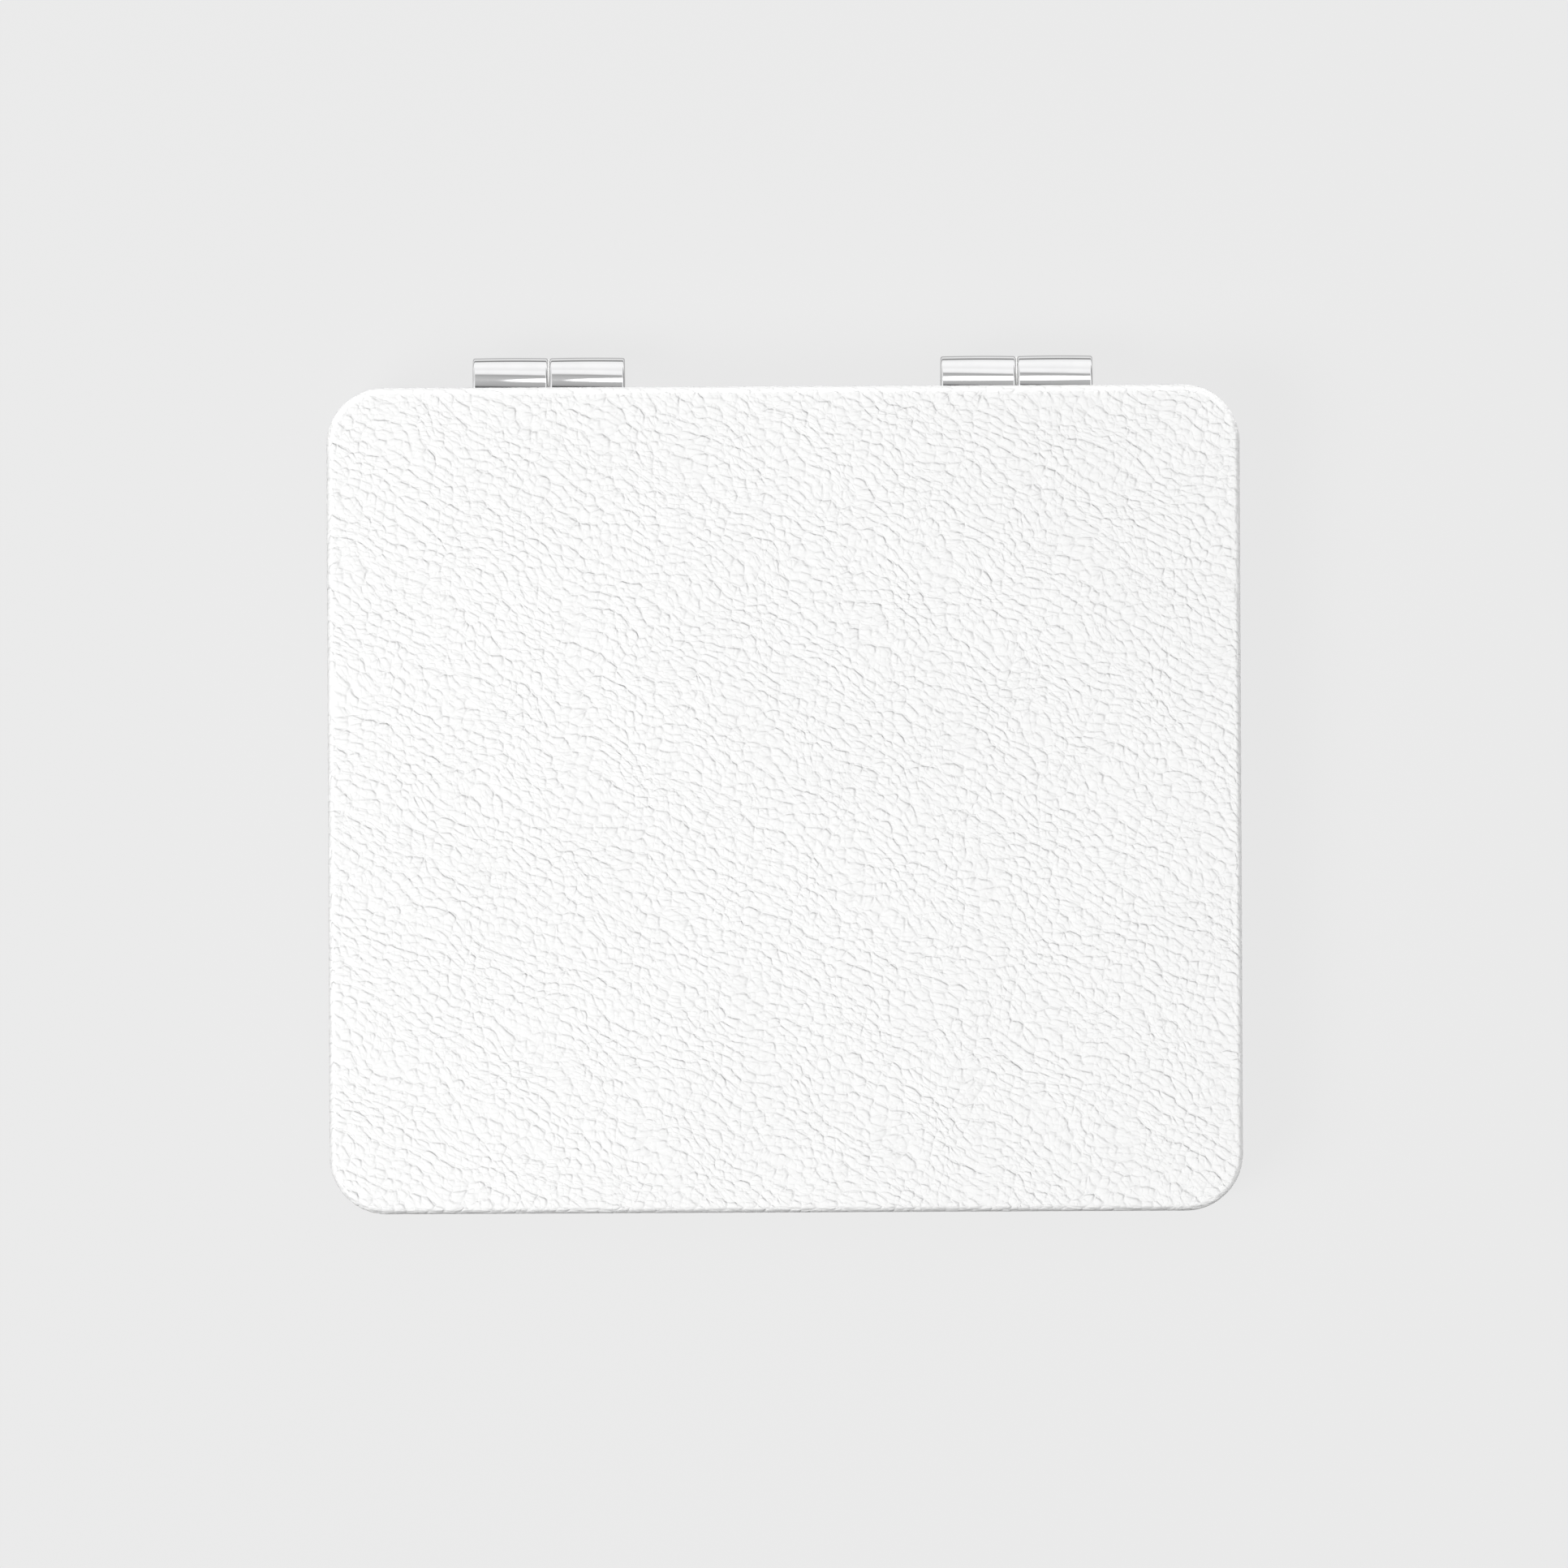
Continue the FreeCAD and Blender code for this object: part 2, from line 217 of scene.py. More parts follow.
@dataclass(frozen=True)
class PebbleGrain:
    """Embossed pebble grain: small domed pebbles, crossed by finer and fainter wrinkles.

    Lengths in this class are millimetres on the leather laid flat. The tone's scale is waves per metre.
    """

    pebbles: GrainLayer = GrainLayer(
        lean=24.0, size=(0.91, 0.72), unevenness=0.79, dome=0.099, rise=0.071, crease=0.015,
        crease_width=0.16,
    )
    wrinkles: GrainLayer = GrainLayer(
        lean=5.0, size=(0.5, 0.4), unevenness=0.9, dome=0.036, rise=0.026, crease=0.008,
        crease_width=0.1, place=(17.3, 41.7, 5.5),
    )
    drift_length: float = 4.0
    drift: float = 0.9
    waver_length: float = 0.8
    waver: float = 0.14
    fine_length: float = 0.3
    fine: float = 0.008
    tone_scale: float = 60.0
    tone_layers: float = 3.0

    def wandering(self, graph: Graph, place: NodeSocket, length: float, reach: float) -> NodeSocket:
        """Adds a smooth offset in waves of a length, which moves a point by the reach at most."""
        noise = graph.noise(place, 1.0 / length, 0.0).outputs[1]
        return graph.vector("SCALE", graph.vector("SUBTRACT", noise, (0.5, 0.5, 0.5)), 2.0 * reach)

    def layer(self, graph: Graph, flat: NodeSocket, layer: GrainLayer) -> Relief:
        """Adds one layer of cells.

        Args:
            graph: The tree to add to.
            flat: The place on the leather laid flat, in millimetres.
            layer: The layer's sizes.

        Returns:
            The domes' height and the sides' height in millimetres, and the crease mask from 0 to 1.
        """
        moved = graph.vector("ADD", flat, layer.place)
        turn = {"Vector": moved, "Angle": math.radians(layer.lean)}
        turned = graph.add("ShaderNodeVectorRotate", turn, rotation_type="Z_AXIS").outputs[0]
        drift = self.wandering(graph, turned, self.drift_length, self.drift)
        waver = self.wandering(graph, turned, self.waver_length, self.waver)
        bent = graph.vector("ADD", graph.vector("ADD", turned, drift), waver)
        scaled = graph.vector("DIVIDE", bent, (*layer.size, 1.0))
        edge = graph.cells(scaled, "DISTANCE_TO_EDGE", layer.unevenness).outputs["Distance"]
        nearest = graph.cells(scaled, "F1", layer.unevenness).outputs
        dome = graph.math("SUBTRACT", 1.0, graph.math("POWER", nearest["Distance"], layer.dome_power))
        off_middle = graph.vector("SUBTRACT", scaled, nearest["Position"])
        lean = {0: off_middle, 1: (0.0, layer.rise, 0.0)}
        raised = graph.add("ShaderNodeVectorMath", lean, operation="DOT_PRODUCT").outputs["Value"]
        inside = graph.ramp(edge, 0.0, layer.crease_width / layer.size[1])
        side = graph.math("MULTIPLY", graph.math("ADD", raised, layer.crease), inside)
        return graph.math("MULTIPLY", dome, layer.dome), side, graph.math("SUBTRACT", 1.0, inside)

    def relief(self, graph: Graph, place: NodeSocket) -> Relief:
        """Adds the grain's heights and its creases.

        Args:
            graph: The tree to add to.
            place: The place on the leather laid flat, in metres.

        Returns:
            The domes' height and the sides' height in metres, and the crease mask from 0 to 1.
        """
        flat = graph.vector("SCALE", place, 1.0 / MM)
        dome, side, crease = self.layer(graph, flat, self.pebbles)
        wrinkle_dome, wrinkle_side, wrinkle = self.layer(graph, flat, self.wrinkles)
        fine = graph.noise(flat, 1.0 / self.fine_length, 2.0).outputs[0]
        sides = graph.math("MULTIPLY_ADD", fine, self.fine, graph.math("ADD", side, wrinkle_side))
        domes = graph.math("ADD", dome, wrinkle_dome)
        domes, sides = (graph.math("MULTIPLY", height, MM) for height in (domes, sides))
        return domes, sides, graph.math("MAXIMUM", crease, wrinkle)

    def group(self) -> NodeTree:
        """Makes the grain's shader group.

        Returns:
            A group from the place on the flat leather to the grain's heights, creases and tone.
        """
        outputs = ("Domes", "Sides", "Crease", "Tone")
        graph, given, result = new_group("pebble_grain", {"Place": "NodeSocketVector"}, outputs)
        place = given.outputs["Place"]
        heights = self.relief(graph, place)
        tone = graph.noise(place, self.tone_scale, self.tone_layers).outputs[0]
        graph.wire(result, dict(zip(outputs, (*heights, tone))))
        return graph.tree


def new_group(name: str, inputs: dict[str, str], outputs: Sequence[str]) -> tuple[Graph, Node, Node]:
    """Makes a shader node group with named sockets.

    Args:
        name: The group's name.
        inputs: Each input's socket type.
        outputs: The names of its outputs, which are all numbers.

    Returns:
        The group's graph, its input node and its output node.
    """
    tree = bpy.data.node_groups.new(name, "ShaderNodeTree")
    for label, kind in inputs.items():
        tree.interface.new_socket(label, in_out="INPUT", socket_type=kind)
    for label in outputs:
        tree.interface.new_socket(label, in_out="OUTPUT", socket_type="NodeSocketFloat")
    graph = Graph(tree)
    return graph, graph.add("NodeGroupInput"), graph.add("NodeGroupOutput")


@dataclass(frozen=True)
class HandlingMarks:
    """Faint marks of making and handling on hard surfaces; a scale is waves per metre."""

    haze_layers: float = 4.0
    haze_roughness: float = 0.6
    haze_range: tuple[float, float] = (0.35, 0.7)
    ripple_layers: float = 1.0
    speck_scale: float = 6000.0
    speck_range: tuple[float, float] = (0.4, 0.75)

    def group(self) -> NodeTree:
        """Makes the marks' shader group.

        Returns:
            A group whose outputs are a soft haze, a slow ripple and fine specks, all from 0 to 1.
        """
        scales = dict.fromkeys(("Haze scale", "Ripple scale"), "NodeSocketFloat")
        graph, given, result = new_group("handling_marks", scales, ("Haze", "Ripple", "Specks"))
        place = graph.add("ShaderNodeTexCoord").outputs["Object"]
        haze = graph.noise(place, given.outputs["Haze scale"], self.haze_layers, self.haze_roughness)
        ripple = graph.noise(place, given.outputs["Ripple scale"], self.ripple_layers)
        specks = graph.noise(place, self.speck_scale)
        hazy = graph.ramp(haze.outputs[0], *self.haze_range)
        specked = graph.ramp(specks.outputs[0], *self.speck_range)
        graph.wire(result, {"Haze": hazy, "Ripple": ripple.outputs[0], "Specks": specked})
        return graph.tree


def new_surface(name: str) -> tuple[Material, Graph, Node]:
    """Makes a material with one Principled shader.

    Args:
        name: The material's name.

    Returns:
        The material, its graph and the shader's node.
    """
    material = bpy.data.materials.new(name)
    material.use_nodes = True
    graph = Graph(material.node_tree)
    shader = graph.add("ShaderNodeBsdfPrincipled")
    graph.add("ShaderNodeOutputMaterial", {"Surface": shader.outputs[0]})
    return material, graph, shader


@dataclass(frozen=True)
class LeatherFinish:
    """White embossed leather, its creases darkened with painted shade."""

    colour: tuple[float, float, float] = (0.905, 0.905, 0.902)
    # Painted shade in the creases: its grey and how much of it is mixed into the colour.
    painted_crease_shade_colour: tuple[float, float, float] = (0.80, 0.80, 0.80)
    painted_crease_shade_share: float = 0.06
    roughness: float = 0.6
    crease_roughness: float = 0.72
    specular: float = 0.15
    tone_range: tuple[float, float] = (0.3, 0.7)
    tone_low: float = 0.985
    pressed_share: float = 0.3
    grain: PebbleGrain = field(default_factory=PebbleGrain)

    def material(self) -> Material:
        """Makes the finish.

        Returns:
            The leather's material.
        """
        material, graph, shader = new_surface("white_pebbled_leather")
        place = graph.add("ShaderNodeAttribute", attribute_name=FLAT_PLACE).outputs["Vector"]
        depth = graph.add("ShaderNodeAttribute", attribute_name=GRAIN_DEPTH).outputs["Fac"]
        group = graph.add("ShaderNodeGroup", {"Place": place}, node_tree=self.grain.group())
        crease = graph.math("MULTIPLY", group.outputs["Crease"], depth)
        # Painted shade: the colour is darkened towards a grey in the creases.
        shade = graph.math("MULTIPLY", crease, self.painted_crease_shade_share)
        worn = graph.ramp(group.outputs["Tone"], *self.tone_range, self.tone_low, 1.0)
        tint = graph.vector("SCALE", graph.blend(shade, self.colour, self.painted_crease_shade_colour), worn)
        dull = graph.ramp(crease, 0.0, 1.0, self.roughness, self.crease_roughness)
        unpressed = 1.0 - self.pressed_share
        height = graph.math("MULTIPLY_ADD", group.outputs["Domes"], unpressed, group.outputs["Sides"])
        normal = graph.bump(graph.math("MULTIPLY", height, depth))
        graph.wire(shader, {
            "Base Color": tint, "Roughness": dull, "Normal": normal, "Specular IOR Level": self.specular,
        })
        return material


@dataclass(frozen=True)
class HardFinish:
    """A smooth hard surface with faint handling marks: scales are waves per metre, heights metres."""

    name: str
    colour: tuple[float, float, float]
    roughness: float
    haze_roughness: float
    dust: float
    haze_scale: float
    ripple_scale: float = 200.0
    ripple: float = 0.0
    specks: float = 0.0
    metallic: float = 1.0

    def material(self, marks: NodeTree) -> Material:
        """Makes the finish.

        Args:
            marks: The shared group of handling marks.

        Returns:
            The surface's material.
        """
        material, graph, shader = new_surface(self.name)
        scales = {"Haze scale": self.haze_scale, "Ripple scale": self.ripple_scale}
        group = graph.add("ShaderNodeGroup", scales, node_tree=marks)
        haze = group.outputs["Haze"]
        duller = tuple(part * (1.0 - self.dust) for part in self.colour)
        tint = graph.blend(haze, self.colour, duller)
        dull = graph.math("MULTIPLY_ADD", haze, self.haze_roughness - self.roughness, self.roughness)
        texture = graph.math("MULTIPLY", group.outputs["Specks"], self.specks)
        height = graph.math("MULTIPLY_ADD", group.outputs["Ripple"], self.ripple, texture)
        graph.wire(shader, {
            "Base Color": tint, "Roughness": dull, "Normal": graph.bump(height), "Metallic": self.metallic,
        })
        return material


@dataclass(frozen=True)
class FoamFinish:
    """Fine open-cell foam, its pores darkened with painted shade."""

    colour: tuple[float, float, float] = (0.86, 0.85, 0.82)
    # Painted shade in the pores.
    painted_pore_shade_colour: tuple[float, float, float] = (0.62, 0.60, 0.56)
    pore_scale: float = 4000.0
    pore_depth: float = 0.06 * MM
    pore_wall: tuple[float, float] = (0.15, 0.6)
    roughness: float = 0.95

    def material(self) -> Material:
        """Makes the finish.

        Returns:
            The foam's material.
        """
        material, graph, shader = new_surface("fine_foam")
        place = graph.add("ShaderNodeTexCoord").outputs["Object"]
        pores = graph.add("ShaderNodeTexVoronoi", {"Vector": place, "Scale": self.pore_scale})
        wall = graph.ramp(pores.outputs["Distance"], *self.pore_wall)
        # Painted shade: the pores are darker than the walls between them.
        tint = graph.blend(wall, self.painted_pore_shade_colour, self.colour)
        normal = graph.bump(wall, self.pore_depth)
        graph.wire(shader, {"Base Color": tint, "Roughness": self.roughness, "Normal": normal})
        return material


HARD_FINISHES = {
    Slot.HINGE: HardFinish(
        "bright_plated_hinge", (0.95, 0.95, 0.955), roughness=0.05, haze_roughness=0.1, dust=0.03,
        haze_scale=500.0, ripple_scale=120.0, ripple=0.02 * MM,
    ),
    Slot.BEZEL: HardFinish(
        "polished_plated_bezel", (0.82, 0.82, 0.83), roughness=0.07, haze_roughness=0.14, dust=0.03,
        haze_scale=250.0, ripple_scale=90.0, ripple=0.01 * MM,
    ),
    Slot.MIRROR: HardFinish(
        "silvered_mirror", (0.93, 0.94, 0.94), roughness=0.015, haze_roughness=0.05, dust=0.015,
        haze_scale=120.0,
    ),
    Slot.STEEL: HardFinish(
        "satin_steel", (0.62, 0.62, 0.63), roughness=0.3, haze_roughness=0.42, dust=0.08,
        haze_scale=900.0, ripple_scale=900.0, ripple=0.01 * MM,
    ),
    Slot.WASHER: HardFinish(
        "white_nylon", (0.93, 0.93, 0.92), roughness=0.5, haze_roughness=0.62, dust=0.03,
        haze_scale=900.0, ripple_scale=600.0, ripple=0.004 * MM, specks=0.004 * MM, metallic=0.0,
    ),
    Slot.MAGNET: HardFinish(
        "nickel_coated_magnet", (0.55, 0.55, 0.57), roughness=0.28, haze_roughness=0.4, dust=0.06,
        haze_scale=400.0, ripple_scale=300.0, ripple=0.01 * MM,
    ),
    Slot.SHELL: HardFinish(
        "moulded_plastic", (0.80, 0.80, 0.79), roughness=0.55, haze_roughness=0.68, dust=0.04,
        haze_scale=200.0, ripple_scale=150.0, ripple=0.01 * MM, specks=0.01 * MM, metallic=0.0,
    ),
}


class Finishes:
    """The materials of the compact, made once."""

    def __init__(self) -> None:
        """Makes every material."""
        marks = HandlingMarks().group()
        self.leather = LeatherFinish()
        self.materials = {Slot.LEATHER: self.leather.material(), Slot.FOAM: FoamFinish().material()}
        for slot, finish in HARD_FINISHES.items():
            self.materials[slot] = finish.material(marks)

    def dress(self, piece: Object, slot: Slot) -> None:
        """Gives a piece its material alone."""
        piece.data.materials.clear()
        piece.data.materials.append(self.materials[slot])

    def place(self, piece: Object, body: Half, slot: Slot, node: str, sharp_deg: float) -> None:
        """Smooths and dresses a piece and puts it in its node's place.

        Args:
            piece: The finished piece.
            body: The body that it moves with.
            slot: Its material.
            node: The node that it stands for.
            sharp_deg: How sharp the edges are that stay sharp.
        """
        piece.data.shade_smooth()
        piece.data.set_sharp_from_angle(angle=math.radians(sharp_deg))
        self.dress(piece, slot)
        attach(piece, body.value)
        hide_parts(node)
        log.info("%s: %d faces, in place of %s", piece.name, len(piece.data.polygons), node)


@dataclass(frozen=True)
class Outline:
    """A rounded rectangle in plan, from which rings are set in."""

    half_x: float
    half_y: float
    corner: float

    def reach(self, point: Vector) -> Vector:
        """How far a point is past the corner centres, along each axis."""
        past_x = max(abs(point.x) - self.half_x + self.corner, 0.0)
        past_y = max(abs(point.y) - self.half_y + self.corner, 0.0)
        return Vector((math.copysign(past_x, point.x), math.copysign(past_y, point.y), 0.0))

    def outward(self, point: Vector) -> Vector:
        """The direction straight out through the outline at a point near it."""
        return self.reach(point).normalized()

    def inset_of(self, point: Vector) -> float:
        """How far a point is inside the outline, in plan."""
        reach = self.reach(point)
        if reach.x and reach.y:
            return self.corner - reach.length
        return min(self.half_x - abs(point.x), self.half_y - abs(point.y))

    def rounded(self, point: Vector, inset: float) -> Vector:
        """Moves a point of a square-cornered plate to its place in a round-cornered one.

        Args:
            point: The point in the square-cornered plate.
            inset: How far the plate's edge is set in from the outline.

        Returns:
            The point in the round-cornered plate.
        """
        radius = self.corner - inset
        reach = self.reach(point) / radius
        if not (reach.x and reach.y):
            return point.copy()
        drawn_x = reach.x * math.sqrt(1.0 - reach.y**2 / 2.0)
        drawn_y = reach.y * math.sqrt(1.0 - reach.x**2 / 2.0)
        return point + Vector((drawn_x - reach.x, drawn_y - reach.y, 0.0)) * radius


class RingMesh:
    """A mesh that grows ring by ring along an outline, from a plate or from a bare ring."""

    def __init__(self, outline: Outline, inset: float, height: float, cell: float) -> None:
        """Starts with a plate.

        Args:
            outline: The outline that the rings follow.
            inset: How far the plate's edge is set in from it.
            height: The plate's height.
            cell: About how long the plate's cells are.
        """
        self.outline = outline
        self.inset = inset
        self.height = height
        self.bm = bmesh.new()
        self.square = self.bm.verts.layers.float_vector.new("square")
        columns, rows = round(2.0 * outline.half_x / cell), round(2.0 * outline.half_y / cell)
        verts = bmesh.ops.create_grid(self.bm, x_segments=columns, y_segments=rows, size=1.0)["verts"]
        self.ring = [edge for edge in self.bm.edges if edge.is_boundary]
        for vert in verts:
            vert[self.square] = vert.co
            self.settle_vert(vert)

    def settle_vert(self, vert: BMVert) -> None:
        """Puts a point, marked with its place in a square, at its place within the outline."""
        half_x, half_y = self.outline.half_x - self.inset, self.outline.half_y - self.inset
        across, along, _ = vert[self.square]
        vert.co = self.outline.rounded(Vector((across * half_x, along * half_y, self.height)), self.inset)

    def open(self) -> None:
        """Takes the plate away and keeps its edge."""
        bmesh.ops.delete(self.bm, geom=self.bm.faces[:], context="FACES_KEEP_BOUNDARY")

    def extruded(self) -> set[BMVert]:
        """Extrudes the last ring where it is.

        Returns:
            The new ring's points.
        """
        made = bmesh.ops.extrude_edge_only(self.bm, edges=self.ring)["geom"]
        verts = {item for item in made if isinstance(item, BMVert)}
        edges = (item for item in made if isinstance(item, BMEdge))
        self.ring = [edge for edge in edges if verts.issuperset(edge.verts)]
        return verts

    def grow(self, inset: float, height: float) -> None:
        """Extrudes the last ring to a new inset and height."""
        for vert in self.extruded():
            vert.co += self.outline.outward(vert.co) * (self.inset - inset)
            vert.co.z = height
        self.inset, self.height = inset, height

    def grow_across(self, outline: Outline, inset: float, height: float) -> None:
        """Extrudes the last ring to a ring of another outline, which later rings follow.

        Args:
            outline: The other outline.
            inset: The new ring's inset from it.
            height: The new ring's height.
        """
        self.outline, self.inset, self.height = outline, inset, height
        for vert in self.extruded():
            self.settle_vert(vert)

    def grow_round(
        self, inset: float, height: float, radius: float, start: float, end: float, steps: int,
        rise: float = 0.0,
    ) -> None:
        """Extrudes the last ring round an arc.

        Args:
            inset: The arc centre's inset.
            height: The arc centre's height.
            radius: The arc's radius in plan.
            start: The angle of the ring that is there, in degrees from straight outward towards up.
            end: The angle of the last ring.
            steps: The number of new rings.
            rise: The arc's radius in height, if it is oval.
        """
        rise = rise or radius
        for step in range(1, steps + 1):
            angle = math.radians(start + (end - start) * step / steps)
            self.grow(inset - radius * math.cos(angle), height + rise * math.sin(angle))

    def grow_straight(self, inset: float, height: float, steps: int) -> None:
        """Extrudes the last ring in even steps.

        Args:
            inset: The inset of the last new ring.
            height: Its height.
            steps: The number of new rings.
        """
        first, last = Vector((self.inset, self.height)), Vector((inset, height))
        for step in range(1, steps + 1):
            self.grow(*first.lerp(last, step / steps))

    def close(self) -> None:
        """Closes the last ring with a plate."""
        bmesh.ops.contextual_create(self.bm, geom=self.ring)


def reflected(bm: BMesh, half: Half, parting: float) -> None:
    """Turns a shape that was modelled in the base half into its own half's.

    Args:
        bm: The shape.
        half: The half that it belongs to.
        parting: The height of the plane between the halves.
    """
    if half is Half.LID:
        flip = Matrix.Translation((0.0, 0.0, 2.0 * parting)) @ Matrix.Diagonal((1.0, 1.0, -1.0, 1.0))
        bmesh.ops.transform(bm, matrix=flip, verts=bm.verts)
    bmesh.ops.recalc_face_normals(bm, faces=bm.faces)


def new_piece(name: str, bm: BMesh) -> Object:
    """Makes an object of a finished bmesh.

    Args:
        name: The piece's name.
        bm: Its shape, which is freed.

    Returns:
        The object, at the origin.
    """
    mesh = bpy.data.meshes.new(name)
    bm.to_mesh(mesh)
    bm.free()
    piece = bpy.data.objects.new(name, mesh)
    bpy.context.scene.collection.objects.link(piece)
    return piece


def settle(piece: Object) -> None:
    """Makes a piece's modifiers part of its mesh."""
    depsgraph = bpy.context.evaluated_depsgraph_get()
    mesh = bpy.data.meshes.new_from_object(piece.evaluated_get(depsgraph))
    piece.modifiers.clear()
    piece.data = mesh
    mesh.name = piece.name


def carve(piece: Object, operation: str, *tools: BMesh) -> None:
    """Cuts tool shapes from a piece, or joins them to it.

    Args:
        piece: The piece to change.
        operation: The Boolean modifier's operation.
        tools: Closed shapes, which are freed.
    """
    helpers = [new_piece(f"{piece.name}.tool", tool) for tool in tools]
    for helper in helpers:
        change = piece.modifiers.new("carve", "BOOLEAN")
        change.operation = operation
        change.solver = "EXACT"
        change.object = helper
    settle(piece)
    for helper in helpers:
        bpy.data.objects.remove(helper)


def bar(bm: BMesh, radius: float, start: Vector, length: float, segments: int = ROUND_SIDES) -> None:
    """Adds a closed round bar along X.

    Args:
        bm: The mesh to add to.
        radius: The bar's radius.
        start: The middle of its left end.
        length: Its length.
        segments: The number of its sides.
    """
    middle = start + Vector((length / 2.0, 0.0, 0.0))
    place = Matrix.Translation(middle) @ Matrix.Rotation(math.pi / 2.0, 4, "Y")
    bmesh.ops.create_cone(
        bm, cap_ends=True, segments=segments, radius1=radius, radius2=radius, depth=length, matrix=place
    )


def block(bm: BMesh, low: Vector, high: Vector) -> None:
    """Adds a box between its lowest and its highest corner."""
    place = Matrix.Translation((low + high) / 2.0) @ Matrix.Diagonal((*(high - low), 1.0))
    bmesh.ops.create_cube(bm, size=1.0, matrix=place)


def soften(bm: BMesh, radius: float, segments: int) -> None:
    """Rounds every edge of a shape that is sharper than 60 degrees.

    Args:
        bm: The shape.
        radius: How far the rounding reaches from the edge.
        segments: The number of faces across it.
    """
    sharp = [edge for edge in bm.edges if edge.is_manifold and edge.calc_face_angle() > SOFTENED_FROM]
    bmesh.ops.bevel(
        bm, geom=sharp, offset=radius, offset_type="OFFSET", segments=segments, profile=0.5, affect="EDGES",
        material=-1,
    )


@dataclass
class HingeLine:
    """The hinge axis and what both hinges share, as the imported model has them."""

    scallop_gap: float = 0.3 * MM
    leaf_margin: float = 0.3 * MM
    axis: Vector = field(init=False)
    barrel_radius: float = field(init=False)

    def __post_init__(self) -> None:
        """Reads the axis from the joint and the radius from a barrel."""
        self.axis = Vector(frame["joints"][0]["pos_m"])
        self.barrel_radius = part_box("left_hinge_base_knuckle")[1].y - self.axis.y

    def scallops(self) -> BMesh:
        """Makes the round clearance that the barrels turn in.

        Returns:
            Two closed bars, one for each hinge.
        """
        bm = bmesh.new()
        for side in Side:
            knuckles = [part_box(f"{side.value}_hinge_{half.value}_knuckle") for half in Half]
            low = min(box[0].x for box in knuckles) - self.scallop_gap
            high = max(box[1].x for box in knuckles) + self.scallop_gap
            bar(bm, self.barrel_radius + self.scallop_gap, Vector((low, *self.axis.yz)), high - low)
        return bm


@dataclass
class CaseHalf:
    """One half of the case: leather cover, foam, bezel, mirror and its pad."""

    half: Half
    hinges: HingeLine
    finishes: Finishes
    mirror_node: str
    bow_radius: float = 0.0
    case_corner: float = 4.15 * MM
    window_corner: float = 2.0 * MM
    window_inset: float = 6.0 * MM
    leather: float = 0.8 * MM
    roll_width: float = 0.5 * MM
    roll_drop: float = 1.1 * MM
    roll_steps: int = 12
    lining_radius: float = 0.3 * MM
    lining_steps: int = 3
    fold_radius: float = 0.55 * MM
    fold_steps: int = 5
    hem_inset: float = 3.2 * MM
    leather_cell: float = 0.27 * MM
    cover_sharp: float = 50.0
    edge_grain: float = 0.9
    grain_shift: Vector = field(default_factory=Vector)
    slot_gap: float = 0.2 * MM
    flange_edge: float = 0.18 * MM
    flange_steps: int = 5
    pane_gap: float = 0.1 * MM
    skirt: float = 0.8 * MM
    lip_chamfer: float = 0.3 * MM
    ring_cell: float = 0.3 * MM
    bezel_sharp: float = 30.0
    weld: float = 0.001 * MM
    pane_cell: float = 0.6 * MM
    pane_thickness: float = 1.3 * MM
    pane_arris: float = 0.12 * MM
    arris_steps: int = 2
    pane_sharp: float = 20.0
    pad_rounding: float = 0.25 * MM
    pad_steps: int = 4
    pad_sharp: float = 40.0
    pad_fill: float = 0.9
    outline: Outline = field(init=False)
    window: Outline = field(init=False)
    parting: float = field(init=False)
    hem_top: float = field(init=False)

    def __post_init__(self) -> None:
        """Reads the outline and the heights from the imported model."""
        low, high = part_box(self.node("leather_cover"))
        self.parting = self.hinges.axis.z
        self.hem_top = high.z - low.z
        self.outline = Outline(high.x, high.y, self.case_corner)
        self.window = Outline(high.x, high.y, self.window_corner + self.window_inset)

    def node(self, name: str) -> str:
        """The name of one of this half's nodes or pieces."""
        return f"{self.half.value}_{name}"

    def span(self, name: str) -> tuple[float, float, float]:
        """Reads a node's place as if it were in the base half.

        Args:
            name: The node's name without its half.

        Returns:
            Its inset from the case's side, its lower height and its upper height.
        """
        low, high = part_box(self.node(name))
        if self.half is Half.LID:
            return self.outline.half_x - high.x, 2.0 * self.parting - high.z, 2.0 * self.parting - low.z
        return self.outline.half_x - high.x, low.z, high.z

    def dish(self, point: Vector) -> float:
        """How far the mirror's bow lifts a point above the mirror's middle."""
        if not self.bow_radius:
            return 0.0
        return self.bow_radius - math.sqrt(self.bow_radius**2 - point.xy.length_squared)

    def cover_skin(self) -> BMesh:
        """Models the leather: panel, rolled edge, wall, folded hem and lining side.

        Returns:
            The closed skin, in the base half.
        """
        roll, drop, fold = self.roll_width, self.roll_drop, self.fold_radius
        top, thick, lining = self.hem_top, self.leather, self.lining_radius
        rings = RingMesh(self.outline, roll, 0.0, self.leather_cell)
        rings.grow_round(roll, drop, roll, -90.0, 0.0, self.roll_steps, drop)
        rings.grow_straight(0.0, top - fold, round((top - fold - drop) / self.leather_cell))
        rings.grow_round(fold, top - fold, fold, 0.0, 90.0, self.fold_steps)
        rings.grow(self.hem_inset, top)
        rings.grow(self.hem_inset, top - thick)
        rings.grow(thick, top - thick)
        rings.grow(thick, thick + lining)
        rings.grow_round(thick + lining, thick + lining, lining, 0.0, -90.0, self.lining_steps)
        rings.close()
        bmesh.ops.recalc_face_normals(rings.bm, faces=rings.bm.faces)
        return rings.bm

    def leaf_slots(self) -> BMesh:
        """Models the room that the hinge leaves need in the hem.

        Returns:
            Two closed boxes, in the base half.
        """
        bm = bmesh.new()
        margin = self.hinges.leaf_margin - self.slot_gap
        for side in Side:
            low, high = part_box(f"{side.value}_hinge_{self.half.value}_knuckle")
            bottom = self.hem_top - self.leather - self.slot_gap
            first = Vector((low.x + margin, low.y - self.slot_gap, bottom))
            last = Vector((high.x - margin, self.hinges.axis.y, self.hem_top + self.slot_gap))
            block(bm, first, last)
        return bm

